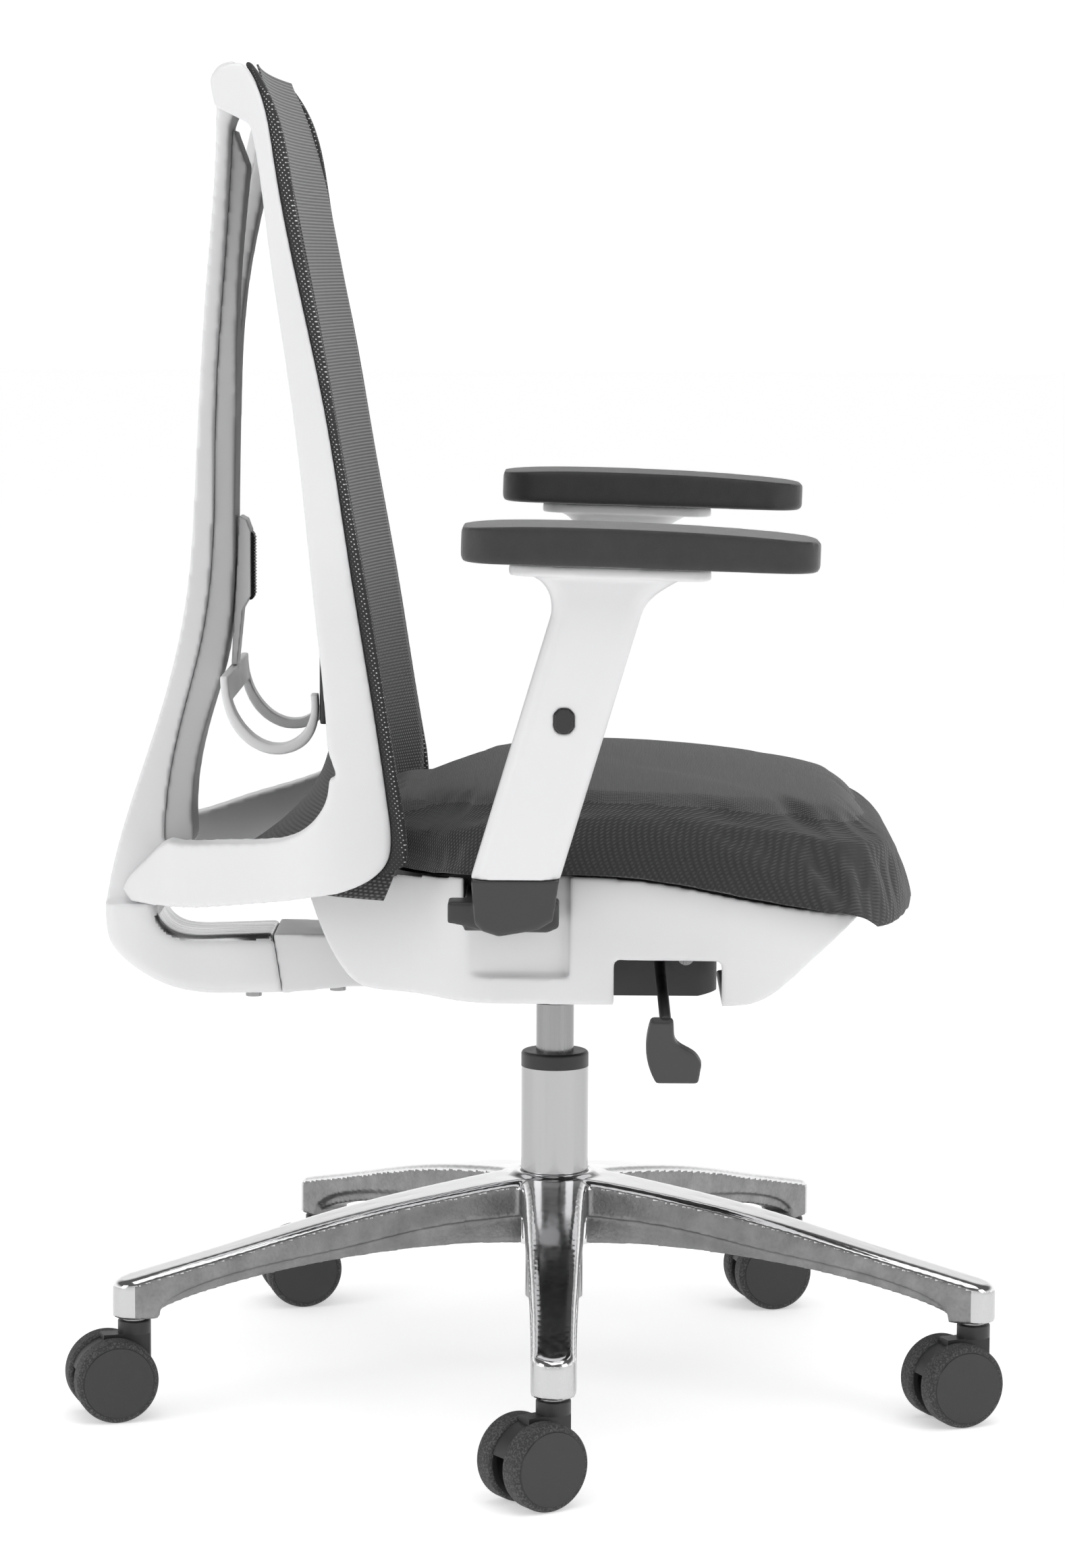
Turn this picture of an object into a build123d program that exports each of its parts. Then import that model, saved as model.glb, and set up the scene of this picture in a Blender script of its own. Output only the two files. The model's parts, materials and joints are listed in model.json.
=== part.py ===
"""Swivel office chair with a mesh back, a padded seat and height-adjustable arms.

Frame: the chair faces -Y, X is lateral and Z is up. The origin is on the floor, on the axis of the column.
"Right" is the side of the sitter's right hand, which is -X.
"""

import os
from math import cos, radians, sin, tan

from build123d import *

os.makedirs("parts", exist_ok=True)

# ---------------------------------------------------------------- driving dimensions, mm and degrees
# base and casters
caster_circle_r = 320.0
base_turn = 0.4
star_arms = 5
socket_z = 73.0
stem_r = 5.5
stem_top_z = 93.0
wheel_r = 30.0
wheel_width = 18.5
wheel_gap = 15.0
axle_r = 4.0
trail = 17.0
swivel_angles = (34, 23, 15, 14, 18)

# column
tube_r = 25.0
tube_foot_r = 21.5
rod_r = 14.0
tube_bottom_z = 66.0
tube_top_z = 241.0
collar_top_z = 252.5
hub_bottom_z = 110.0
hub_top_z = 163.0
rod_bottom_z = 110.0
running_gap = 0.1

# tilt mechanism
housing_half_x = 62.0
housing_front_y = -118.0
housing_rear_y = 88.0
housing_bottom_z = 304.0
housing_top_z = 346.0
housing_wall = 5.0
recline_y = 40.0
recline_z = 324.0
tilt_y = -95.0
tilt_z = 334.0
pin_r = 6.0
tongue_half_x = 30.0

# back
carrier_half_x = 41.0
spine_half_x = 30.0
spine_foot_z = 366.0
split_z = 771.0
rail_outer_x = 222.0
rail_inner_x = 206.0
rim_x = 204.0
edge_outer_x = 219.0
corner_x = 176.0
corner_z = 933.0
mesh_thick = 3.0

# seat
seat_half_x = 245.0
shroud_half_x = 226.0
shroud_wall = 4.0
seat_waist_x = 188.0
crease_z = 456.0
cushion_rear_y = 150.0
shroud_rear_y = 179.0
pan_thick = 8.0
carrier_plate_z = 357.0
rib_x = 70.0

# arms
arm_x = 300.0
post_thick = 34.0
post_width = 60.0
post_lean = 16.7
post_foot_z = 424.0
post_foot_y = 25.0
inner_post_thick = 18.0
inner_post_width = 34.0
plate_z = 626.0
beam_y = 31.0
beam_width = 60.0
beam_bottom_z = 380.0
beam_top_z = 400.0
button_y = -7.0
button_z = 531.0
pad_y = -57.0
pad_length = 238.0
pad_bottom_z = 634.0
pad_thick = 26.0
pad_half_x = 45.0
pad_tilt = 1.6
button_width = 13.0
button_height = 16.0
button_chamfer = 3.5
left_arm_forward = 14.0
left_sleeve_raised = 8.0

# lever
lever_y = -76.0
lever_z = 330.0
lever_r = 4.0


def save(builder, name):
    """Label a finished piece and write it to its own file."""
    builder.part.label = name
    export_step(builder.part, f"parts/{name}.step")


def arm_angle(index):
    """Direction of one arm of the star, starting with the one that points to -X."""
    return 180.0 + base_turn + index * 360.0 / star_arms


# ---------------------------------------------------------------- five-star base
with BuildPart() as star_arm:
    with BuildSketch(Plane.XZ) as cap_side:
        with BuildLine():
            Spline((22, 161), (64, 156.5), (167, 139), (249, 119.5), (336, 99),
                   tangents=[(1, -0.05), (1, -0.25)])
            Line((336, 99), (336, socket_z))
            Line((336, socket_z), (305, socket_z))
            Line((305, socket_z), (303, 82))
            Spline((303, 82), (269, 98), (167, 117), (22, 134), tangents=[(-0.75, 0.65), (-1, 0.02)])
            Line((22, 134), (22, 161))
        make_face()
    extrude(amount=40, both=True)
    with BuildSketch() as cap_plan:
        with BuildLine():
            Spline((20, 27), (90, 21.5), (320, 15.5), tangents=[(1, -0.2), (1, 0)])
            RadiusArc((320, 15.5), (320, -15.5), 15.5)
            Spline((320, -15.5), (90, -21.5), (20, -27), tangents=[(-1, 0), (-1, -0.2)])
            Line((20, -27), (20, 27))
        make_face()
    extrude(amount=200, mode=Mode.INTERSECT)
    fillet(star_arm.faces().filter_by(lambda f: f.normal_at().Z > 0.9).edges(), radius=6)

with BuildPart() as star_web:
    with BuildSketch(Plane.XZ) as web_side:
        with BuildLine():
            Spline((22, 140), (167, 122), (269, 102), (304, 90), tangents=[(1, 0), (1, -0.4)])
            Line((304, 90), (304, 78))
            Spline((304, 78), (269, 90), (167, 108), (64, 113.5), (22, 111), tangents=[(-1, 0.5), (-1, -0.1)])
            Line((22, 111), (22, 140))
        make_face()
    extrude(amount=40, both=True)
    with BuildSketch() as web_plan:
        with BuildLine():
            Polyline((20, 20), (90, 16), (306, 10.5), (306, -10.5), (90, -16), (20, -20), close=True)
        make_face()
    extrude(amount=200, mode=Mode.INTERSECT)

with BuildPart() as five_star_base:
    with BuildSketch(Plane.XZ):
        with BuildLine():
            Polyline((0, hub_bottom_z), (33, hub_bottom_z), (35, 118), (36, 150))
            Spline((36, 150), (34, 160), (29, hub_top_z), tangents=[(0, 1), (-1, 0.2)])
            Polyline((29, hub_top_z), (0, hub_top_z), (0, hub_bottom_z))
        make_face()
    revolve(axis=Axis.Z)
    with PolarLocations(0, star_arms, start_angle=180.0 + base_turn):
        add(star_arm.part)
        add(star_web.part)
    with Locations((0, 0, 0)):
        Cylinder(tube_r, 400, mode=Mode.SUBTRACT)
    with PolarLocations(caster_circle_r, star_arms, start_angle=180.0 + base_turn):
        Cylinder(stem_r + 0.05, stem_top_z + 1, align=(Align.CENTER, Align.CENTER, Align.MIN),
                 mode=Mode.SUBTRACT)
save(five_star_base, "five_star_base")


# ---------------------------------------------------------------- casters
def caster_place(index):
    """Location of one caster: its swivel axis at the socket, turned so that it trails to the rear."""
    angle = radians(arm_angle(index))
    place = Location((caster_circle_r * cos(angle), caster_circle_r * sin(angle), 0))
    return place * Location((0, 0, 0), (0, 0, swivel_angles[index]))


def build_hood():
    """Stem housing and the web between the wheels, with the axle's boss and an open lower rear."""
    half = wheel_gap / 2 - 0.7
    with BuildPart() as hood:
        with BuildSketch(Plane.YZ) as web:
            with Locations((trail, wheel_r)):
                Circle(28)
            with Locations((6, 48)):
                Rectangle(36, 27)
            with Locations((trail + 6, -3)):
                Rectangle(80, 32, mode=Mode.SUBTRACT)
            with BuildLine():
                Polyline((trail + 3, 34), (trail + 34, 38), (trail + 34, 4), (trail + 3, 4), close=True)
            make_face(mode=Mode.SUBTRACT)
            with Locations((trail, wheel_r)):
                Circle(9)
        extrude(amount=half, both=True)
        with BuildSketch() as round_front:
            Circle(12)
            with Locations((0, 30)):
                Rectangle(24, 60)
        extrude(amount=80, mode=Mode.INTERSECT)
        with BuildSketch(Plane.XY.offset(61.2)):
            Circle(12)
        extrude(amount=9.8)
        fillet(hood.faces().sort_by(Axis.Z)[-1].outer_wire().edges(), radius=1.5)
        with BuildSketch(Plane.XY.offset(56)):
            Circle(stem_r)
        extrude(amount=30, mode=Mode.SUBTRACT)
        with BuildSketch(Plane.YZ):
            with Locations((trail, wheel_r)):
                Circle(axle_r)
        extrude(amount=20, both=True, mode=Mode.SUBTRACT)
    return hood.part


def build_stem():
    """Steel swivel pin with its friction ring under the socket."""
    with BuildPart() as stem:
        with BuildSketch(Plane.XZ):
            with BuildLine():
                Polyline((0, 56), (stem_r, 56), (stem_r, 71), (9.5, 71), (9.5, 72.7), (stem_r, 72.7),
                         (stem_r, stem_top_z - 1.5), (stem_r - 1.5, stem_top_z), (0, stem_top_z), close=True)
            make_face()
        revolve(axis=Axis.Z)
    return stem.part


def build_axle():
    """Steel axle that carries both wheels."""
    with BuildPart() as axle:
        with BuildSketch(Plane.YZ):
            with Locations((trail, wheel_r)):
                Circle(axle_r)
        extrude(amount=wheel_gap / 2 + wheel_width - 3, both=True)
    return axle.part


def build_wheel(side):
    """One wheel: tyre band, domed disc with a rim groove and a blind hub on the inner side."""
    inner = wheel_gap / 2
    outer = inner + wheel_width
    with BuildPart() as wheel:
        with BuildSketch(Plane.XY) as section:
            with BuildLine():
                Polyline((inner, axle_r + 0.05), (outer - 2.5, axle_r + 0.05), (outer - 2.5, 0), (outer, 0))
                Line((outer, 0), (outer, 25.4))
                Line((outer, 25.4), (outer - 0.8, 25.8))
                Line((outer - 0.8, 25.8), (outer - 0.8, 26.6))
                Spline((outer - 0.8, 26.6), (outer - 2.2, 29), (outer - 5, wheel_r),
                       tangents=[(0, 1), (-1, 0)])
                Line((outer - 5, wheel_r), (inner + 3, wheel_r))
                RadiusArc((inner + 3, wheel_r), (inner, wheel_r - 3), -3)
                Polyline((inner, wheel_r - 3), (inner, 23.5), (outer - 5, 23.5), (outer - 5, 9), (inner, 9),
                         (inner, axle_r + 0.05))
            make_face()
        revolve(axis=Axis.X)
    turned = wheel.part.moved(Location((0, trail, wheel_r)))
    return turned if side > 0 else mirror(turned, about=Plane.YZ)


caster_pieces = {
    "hood": build_hood(),
    "stem": build_stem(),
    "axle": build_axle(),
    "wheel_a": build_wheel(-1),
    "wheel_b": build_wheel(1),
}
for index in range(star_arms):
    for piece, shape in caster_pieces.items():
        with BuildPart() as caster_piece:
            add(shape.moved(caster_place(index)))
        save(caster_piece, f"caster_{index + 1}_{piece}")

# ---------------------------------------------------------------- column
with BuildPart() as column_tube:
    with BuildSketch(Plane.XZ):
        with BuildLine():
            Polyline((0, tube_bottom_z), (tube_foot_r - 1, tube_bottom_z), (tube_foot_r, tube_bottom_z + 1),
                     (tube_foot_r, hub_bottom_z - 4), (tube_r, hub_bottom_z), (tube_r, tube_top_z),
                     (rod_r + running_gap, tube_top_z), (rod_r + running_gap, tube_bottom_z + 6),
                     (0, tube_bottom_z + 6), close=True)
        make_face()
    revolve(axis=Axis.Z)
save(column_tube, "column_tube")

with BuildPart() as column_collar:
    with BuildSketch(Plane.XY.offset(tube_top_z)):
        Circle(tube_r)
        Circle(rod_r + running_gap, mode=Mode.SUBTRACT)
    extrude(amount=collar_top_z - tube_top_z)
    fillet(column_collar.faces().sort_by(Axis.Z)[-1].outer_wire().edges(), radius=2.5)
    with PolarLocations(tube_r, 3, start_angle=200):
        Box(3, 12, 6, align=(Align.CENTER, Align.CENTER, Align.MIN), mode=Mode.SUBTRACT)
save(column_collar, "column_collar")

with BuildPart() as gas_rod:
    with BuildSketch(Plane.XY.offset(rod_bottom_z)):
        Circle(rod_r)
    extrude(amount=housing_top_z - 12 - rod_bottom_z)
    chamfer(gas_rod.faces().sort_by(Axis.Z)[-1].edges(), length=2)
save(gas_rod, "gas_rod")

# ---------------------------------------------------------------- tilt mechanism
slot_half_x = tongue_half_x + 0.6
slot_front_y = recline_y - 22

with BuildPart() as mechanism_housing:
    with BuildSketch(Plane.XY.offset(housing_bottom_z)) as housing_plan:
        with Locations((0, (housing_front_y + housing_rear_y) / 2)):
            RectangleRounded(2 * housing_half_x, housing_rear_y - housing_front_y, 14)
    extrude(amount=housing_top_z - housing_bottom_z)
    with BuildSketch(Plane.YZ) as housing_side:
        with BuildLine():
            Polyline((-130, 310), (-104, housing_bottom_z), (housing_rear_y - 20, housing_bottom_z),
                     (100, 312), (100, 334), (10, housing_top_z), (-130, housing_top_z), close=True)
        make_face()
    extrude(amount=100, both=True, mode=Mode.INTERSECT)
    with BuildSketch(Plane.XY.offset(housing_bottom_z + housing_wall)):
        with Locations((0, (housing_front_y + slot_front_y) / 2 - 2)):
            RectangleRounded(2 * (housing_half_x - housing_wall), slot_front_y - housing_front_y - 14, 8)
    extrude(amount=60, mode=Mode.SUBTRACT)
    with BuildSketch(Plane.XY.offset(housing_bottom_z - 14)):
        Circle(rod_r + 9)
    extrude(amount=housing_top_z - housing_bottom_z + 2)
    with BuildSketch(Plane.XY.offset(housing_bottom_z - 20)):
        Circle(rod_r + 0.05)
    extrude(amount=80, mode=Mode.SUBTRACT)
    with Locations((0, slot_front_y, 325)):
        Box(2 * slot_half_x, 160, 90, align=(Align.CENTER, Align.MIN, Align.CENTER), mode=Mode.SUBTRACT)
    with BuildSketch(Plane.YZ):
        with Locations((recline_y, recline_z), (tilt_y, tilt_z)):
            Circle(pin_r)
    extrude(amount=90, both=True, mode=Mode.SUBTRACT)
save(mechanism_housing, "mechanism_housing")

with BuildPart() as mechanism_cover:
    with BuildSketch(Plane.XY.offset(housing_top_z)):
        with Locations((0, (housing_front_y + slot_front_y) / 2 - 2)):
            RectangleRounded(2 * housing_half_x - 6, slot_front_y - housing_front_y - 10, 10)
    extrude(amount=2)
save(mechanism_cover, "mechanism_cover")

with BuildPart() as pivot_pins:
    with BuildSketch(Plane.YZ):
        with Locations((recline_y, recline_z)):
            Circle(pin_r)
    extrude(amount=housing_half_x + 2, both=True)
    with BuildSketch(Plane.YZ):
        with Locations((tilt_y, tilt_z)):
            Circle(pin_r)
    extrude(amount=housing_half_x + 9, both=True)
save(pivot_pins, "pivot_pins")

with BuildPart() as tilt_springs:
    for spring_x in (-40, 40):
        with BuildLine() as coil:
            Helix(pitch=7, height=70, radius=10, center=(spring_x, tilt_y + 15, 326), direction=(0, 1, 0))
        with BuildSketch(Plane(coil.line @ 0, z_dir=coil.line % 0)):
            Circle(1.8)
        sweep(path=coil.line, is_frenet=True)
save(tilt_springs, "tilt_springs")


# ---------------------------------------------------------------- height lever
paddle_tilt = radians(22)
paddle_thick = 9.0
paddle_plane = Plane(origin=(-263, lever_y, lever_z - 13), x_dir=(0, 1, 0),
                     z_dir=(cos(paddle_tilt), 0, sin(paddle_tilt)))
lever_bend_x = -150.0
lever_route = ((-housing_half_x, lever_y, lever_z), (lever_bend_x, lever_y, lever_z),
               (-269, lever_y - 1, lever_z - 9))
with BuildPart() as lever_shaft:
    with BuildLine() as shaft_path:
        Polyline(*lever_route)
    with BuildSketch(Plane.YZ.offset(-housing_half_x)):
        with Locations((lever_y, lever_z)):
            Circle(lever_r)
    sweep(path=shaft_path.line, transition=Transition.ROUND)
save(lever_shaft, "lever_shaft")

with BuildPart() as lever_paddle:
    with BuildSketch(paddle_plane):
        with BuildLine():
            Line((9, 8), (-6, 8))
            Spline((-6, 8), (-9, -10), (-20, -18), (-26, -27), tangents=[(-0.2, -1), (-0.4, -1)])
            Line((-26, -27), (-24, -42))
            Line((-24, -42), (5, -42))
            Spline((5, -42), (11, -25), (9, 8), tangents=[(0.5, 1), (-0.3, 1)])
        make_face()
    extrude(amount=-paddle_thick)
    fillet(lever_paddle.edges().filter_by(lambda e: abs((e % 0.5).dot(paddle_plane.z_dir)) > 0.95), radius=3)
    chamfer(lever_paddle.faces().sort_by(Axis.X)[0].edges(), length=1.5)
    add(lever_shaft.part, mode=Mode.SUBTRACT)
save(lever_paddle, "lever_paddle")

# ---------------------------------------------------------------- seat
cushion_seam = ((150, 402), (102, 408), (56, 412), (-4, 414), (-83, 408), (-130, 399), (-176, 391),
                (-214, 384))


def seam_offset(drop):
    """The line between cushion and shroud, in the YZ plane, lowered by drop."""
    return [(y, z - drop) for y, z in cushion_seam]


def seat_plan(shrink, rear):
    """Plan outline of the seat: broad over the thighs, narrower between the back's rails."""
    half = seat_half_x - shrink
    front = -262 + shrink
    with BuildSketch() as plan:
        with BuildLine():
            Spline((0, front), (130, front + 8), (half - 18, front + 45), (half, -120),
                   tangents=[(1, 0), (0.05, 1)])
            Line((half, -120), (half - 6, 40))
            Spline((half - 6, 40), (seat_waist_x - shrink / 2, 96), (rear * 0.8, rear - 16), (0, rear),
                   tangents=[(-0.1, 1), (-1, 0)])
            mirror(about=Plane.YZ)
        make_face()
    return plan.sketch


with BuildPart() as seat_cushion:
    with BuildSketch(Plane.YZ):
        with BuildLine():
            Spline(*seam_offset(0))
            Spline(cushion_seam[-1], (-228, 373), (-245, 373), (-262, 394), tangents=[(-0.8, -0.7), (0, 1)])
            Spline((-262, 394), (-251, 424), (-232, 442), (-187, 463), (-137, 475), (-38, 484), (32, 480),
                   (92, 467), (156, 430), tangents=[(0.02, 1), (0.3, -1)])
            Line((156, 430), cushion_seam[0])
        make_face()
    extrude(amount=260, both=True)
    with BuildSketch(Plane.XZ):
        with BuildLine():
            Line((-seat_half_x, 340), (-seat_half_x, crease_z))
            Spline((-seat_half_x, crease_z), (-200, 468), (0, 485), (200, 468), (seat_half_x, crease_z),
                   tangents=[(0.85, 0.4), (0.85, -0.4)])
            Line((seat_half_x, crease_z), (seat_half_x, 340))
            Line((seat_half_x, 340), (-seat_half_x, 340))
        make_face()
    extrude(amount=300, both=True, mode=Mode.INTERSECT)
    add(seat_plan(0, cushion_rear_y))
    extrude(amount=600, mode=Mode.INTERSECT)
save(seat_cushion, "seat_cushion")

with BuildPart() as seat_pan:
    pan_top = seam_offset(0.4)[:-1]
    pan_floor = seam_offset(pan_thick)[:-1]
    with BuildSketch(Plane.YZ):
        with BuildLine():
            Spline(*pan_top)
            Line(pan_top[-1], pan_floor[-1])
            Spline(*reversed(pan_floor))
            Line(pan_floor[0], pan_top[0])
        make_face()
    extrude(amount=260, both=True)
    add(seat_plan(seat_half_x - shroud_half_x + shroud_wall + 14, cushion_rear_y - 12))
    extrude(amount=600, mode=Mode.INTERSECT)
save(seat_pan, "seat_pan")

shroud_inset = seat_half_x - shroud_half_x
pocket_y = 34.0
pocket_half_y = 45.0
pocket_depth = 12.0
notch_front_y = -116.0
notch_rear_y = -42.0
notch_top_z = 355.0


def shroud_block(shrink, lift):
    """Solid of the shroud's outer shape, shrunk in plan and raised at the bottom, with the arm pockets."""
    with BuildPart() as block:
        with BuildSketch(Plane.YZ):
            with BuildLine():
                Spline(*seam_offset(0.3))
                Spline((-214, 383.7), (-177, 354 + lift), (-146, 329 + lift), (-117, 324 + lift),
                       tangents=[(0.8, -0.6), (1, 0)])
                Line((-117, 324 + lift), (126, 324 + lift))
                Spline((126, 324 + lift), (150, 338 + lift), (180, 401.7), tangents=[(1, 0.05), (0.4, 1)])
                Line((180, 401.7), (150, 401.7))
            make_face()
        extrude(amount=260, both=True)
        add(seat_plan(shroud_inset + shrink, shroud_rear_y - shrink))
        extrude(amount=600, mode=Mode.INTERSECT)
        for side, shift, outward in ((-1, 0, Align.MAX), (1, -left_arm_forward, Align.MIN)):
            with Locations((side * (shroud_half_x - pocket_depth - shrink), pocket_y + shift, 343 - shrink)):
                Box(60, 2 * (pocket_half_y + shrink), 90, align=(outward, Align.CENTER, Align.MIN),
                    mode=Mode.SUBTRACT)
    return block.part


with BuildPart() as seat_shroud:
    add(shroud_block(0, 0))
    add(shroud_block(shroud_wall, 5), mode=Mode.SUBTRACT)
    with Locations((0, 40, 320)):
        Box(2 * (rib_x + 24), 380, 60, align=(Align.CENTER, Align.CENTER, Align.CENTER), mode=Mode.SUBTRACT)
    with Locations((0, 120, 360)):
        Box(2 * (rib_x + 10), 120, 120, mode=Mode.SUBTRACT)
    with Locations((-shroud_half_x, (notch_front_y + notch_rear_y) / 2, 300)):
        Box(300, notch_rear_y - notch_front_y, notch_top_z - 300,
            align=(Align.CENTER, Align.CENTER, Align.MIN), mode=Mode.SUBTRACT)
    for side, shift in ((-1, 0), (1, -left_arm_forward)):
        with Locations((side * shroud_half_x, beam_y + shift, beam_bottom_z - 0.4)):
            Box(80, beam_width + 0.8, 60, align=(Align.CENTER, Align.CENTER, Align.MIN), mode=Mode.SUBTRACT)
save(seat_shroud, "seat_shroud")

with BuildPart() as seat_carrier:
    with BuildSketch(Plane.XY.offset(carrier_plate_z)):
        with Locations((0, -15)):
            RectangleRounded(2 * rib_x, 200, 10)
        with Locations((0, -15)):
            RectangleRounded(70, 130, 10, mode=Mode.SUBTRACT)
    extrude(amount=7)
    for side in (-1, 1):
        with BuildSketch(Plane.YZ.offset(side * (rib_x - 3))) as rib:
            with BuildLine():
                Polyline((-115, carrier_plate_z), (85, carrier_plate_z), (110, 372))
                Line((110, 372), (110, 396))
                Spline((110, 396), (-4, 404), (-130, 388.5), (-150, 384), tangents=[(-1, 0.1), (-1, -0.2)])
                Line((-150, 385), (-115, carrier_plate_z))
            make_face()
        extrude(amount=3, both=True)
        with BuildSketch(Plane.YZ.offset(side * (rib_x - 3))):
            with Locations((tilt_y, tilt_z)):
                Circle(12)
            with Locations((tilt_y, (tilt_z + carrier_plate_z) / 2)):
                Rectangle(24, carrier_plate_z - tilt_z + 4)
            with Locations((tilt_y, tilt_z)):
                Circle(pin_r + 0.05, mode=Mode.SUBTRACT)
        extrude(amount=3, both=True)
save(seat_carrier, "seat_carrier")

# ---------------------------------------------------------------- arms
lean = radians(post_lean)


def on_post(height):
    """Y of the post's centre line at a height above the floor."""
    return post_foot_y - (height - post_foot_z) * tan(lean)


def tilted(height):
    """Plane of the pad, which falls gently to the front, at a height under the pad's centre."""
    slope = radians(pad_tilt)
    return Plane(origin=(arm_x, pad_y, height), x_dir=(1, 0, 0), z_dir=(0, -sin(slope), cos(slope)))


def build_arm_bracket():
    """Beam out of the seat, the dark knuckle under the post and the inner post inside the sleeve."""
    with BuildPart() as bracket:
        with BuildSketch(Plane.YZ.offset(rib_x)) as beam:
            with Locations((beam_y, (beam_bottom_z + beam_top_z) / 2)):
                Rectangle(beam_width, beam_top_z - beam_bottom_z)
        extrude(amount=arm_x - post_thick / 2 - rib_x - 30)
        with BuildSketch(Plane.YZ.offset(shroud_half_x + 4)) as wing_plate:
            with BuildLine():
                Polyline((72, 400), (72, 386), (60, 384), (44, 380), (4, 379.5), (-4, 383), (-4, 400),
                         close=True)
            make_face()
        extrude(amount=seat_half_x + 12 - shroud_half_x - 4)
        with BuildSketch(Plane.YZ.offset(seat_half_x + 2)) as plug:
            with BuildLine():
                seat_z = post_foot_z - 0.4
                mid_y = on_post(seat_z)
                half = post_width / 2 - 0.5
                Polyline((mid_y + half, seat_z), (52, 394), (47, 389), (36, 385.5), (10, 390), (0, 396),
                         (mid_y - half, seat_z), close=True)
            make_face()
        extrude(amount=arm_x + post_thick / 2 - seat_half_x - 2.5)
        chamfer(bracket.faces().sort_by(Axis.X)[-1].edges().filter_by_position(Axis.Z, 380, 398), length=2)
        with BuildSketch(Plane.YZ.offset(arm_x)) as inner_post:
            with BuildLine():
                foot = on_post(400)
                head = on_post(590)
                half = inner_post_width / 2
                Polyline((foot - half, 400), (foot + half, 400), (head + half, 590), (head - half, 590),
                         close=True)
            make_face()
        extrude(amount=inner_post_thick / 2, both=True)
    return bracket.part


def button_outline(gap):
    """Upright rectangle with cut corners, larger all round by a gap."""
    with BuildSketch(mode=Mode.PRIVATE) as outline:
        Rectangle(button_width + 2 * gap, button_height + 2 * gap)
        chamfer(outline.vertices(), length=button_chamfer)
    return add(outline.sketch)


def build_arm_post():
    """White sleeve: a leaning hollow post that flares into the plate under the pad."""
    top = plate_z + 2
    with BuildPart() as post:
        with BuildSketch(Plane.YZ.offset(arm_x)) as post_side:
            with BuildLine():
                Line((on_post(post_foot_z) + 30, post_foot_z), (on_post(post_foot_z) - 30, post_foot_z))
                Line((on_post(post_foot_z) - 30, post_foot_z), (on_post(601) - 30, 601))
                Spline((on_post(601) - 30, 601), (-76, 620), (-96, top),
                       tangents=[(-sin(lean), cos(lean)), (-1, 0.12)])
                Line((-96, top), (20, top))
                Spline((20, top), (4, 617), (on_post(601) + 30, 601),
                       tangents=[(-1, -0.15), (0.1, -1)])
                Line((on_post(601) + 30, 601), (on_post(post_foot_z) + 30, post_foot_z))
            make_face()
        extrude(amount=post_thick / 2, both=True)
        long_edges = post.edges().filter_by(lambda e: abs(abs(e.center().X - arm_x) - post_thick / 2) < 0.01)
        fillet(long_edges.filter_by_position(Axis.Z, post_foot_z + 5, plate_z - 1), radius=12)
        with BuildSketch(tilted(plate_z)) as plate:
            with Locations((0, -37 - pad_y)):
                RectangleRounded(62, 134, 16)
        extrude(amount=pad_bottom_z - 0.4 - plate_z)
        fillet(post.faces().sort_by(Axis.Z)[-1].edges(), radius=1.5)
        with BuildSketch(Plane.YZ.offset(arm_x)) as bore:
            with BuildLine():
                foot = on_post(400)
                head = on_post(618)
                half = inner_post_width / 2 + 0.3
                Polyline((foot - half, 400), (foot + half, 400), (head + half, 618), (head - half, 618),
                         close=True)
            make_face()
        extrude(amount=inner_post_thick / 2 + 0.3, both=True, mode=Mode.SUBTRACT)
        with BuildSketch(Plane.YZ.offset(arm_x + post_thick / 2 - 6)):
            with Locations((button_y, button_z)):
                button_outline(0.4)
        extrude(amount=20, mode=Mode.SUBTRACT)
    return post.part


def build_arm_button():
    """Octagonal release button in its well on the outer side of the post."""
    with BuildPart() as button:
        with BuildSketch(Plane.YZ.offset(arm_x + post_thick / 2 - 3)):
            with Locations((button_y, button_z)):
                button_outline(0)
        extrude(amount=4.5)
        chamfer(button.faces().sort_by(Axis.X)[-1].edges(), length=1)
    return button.part


def build_arm_pad():
    """Soft pad with a low crown and rounded ends, parallel to its plate."""
    with BuildPart() as pad:
        with BuildSketch(tilted(pad_bottom_z)) as pad_plan:
            RectangleRounded(2 * pad_half_x, pad_length, 26)
        extrude(amount=pad_thick + 2)
        with BuildSketch(Plane.YZ.offset(arm_x)):
            with BuildLine():
                rear = pad_y + pad_length / 2 + 3
                front = pad_y - pad_length / 2 - 3
                Line((rear, pad_bottom_z - 8), (rear, pad_bottom_z + pad_thick))
                Spline((rear, pad_bottom_z + pad_thick), (pad_y + 30, pad_bottom_z + pad_thick + 1),
                       (front, pad_bottom_z + pad_thick - 9), tangents=[(-1, 0.08), (-1, -0.12)])
                Line((front, pad_bottom_z + pad_thick - 9), (front, pad_bottom_z - 8))
                Line((front, pad_bottom_z - 8), (rear, pad_bottom_z - 8))
            make_face()
        extrude(amount=80, both=True, mode=Mode.INTERSECT)
        fillet(pad.faces().sort_by(Axis.Z)[0].edges(), radius=4)
    return pad.part


arm_pieces = {
    "arm_bracket": build_arm_bracket(),
    "arm_post": build_arm_post(),
    "arm_button": build_arm_button(),
    "arm_pad": build_arm_pad(),
}
left_stand = Location((0, -left_arm_forward, 0))
left_raised = left_stand * Location((0, -left_sleeve_raised * sin(lean), left_sleeve_raised * cos(lean)))
for piece, shape in arm_pieces.items():
    left_place = left_stand if piece == "arm_bracket" else left_raised
    with BuildPart() as left_piece:
        add(shape.moved(left_place))
    save(left_piece, f"{piece}_left")
    with BuildPart() as right_piece:
        add(mirror(shape, about=Plane.YZ))
    save(right_piece, f"{piece}_right")

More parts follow.
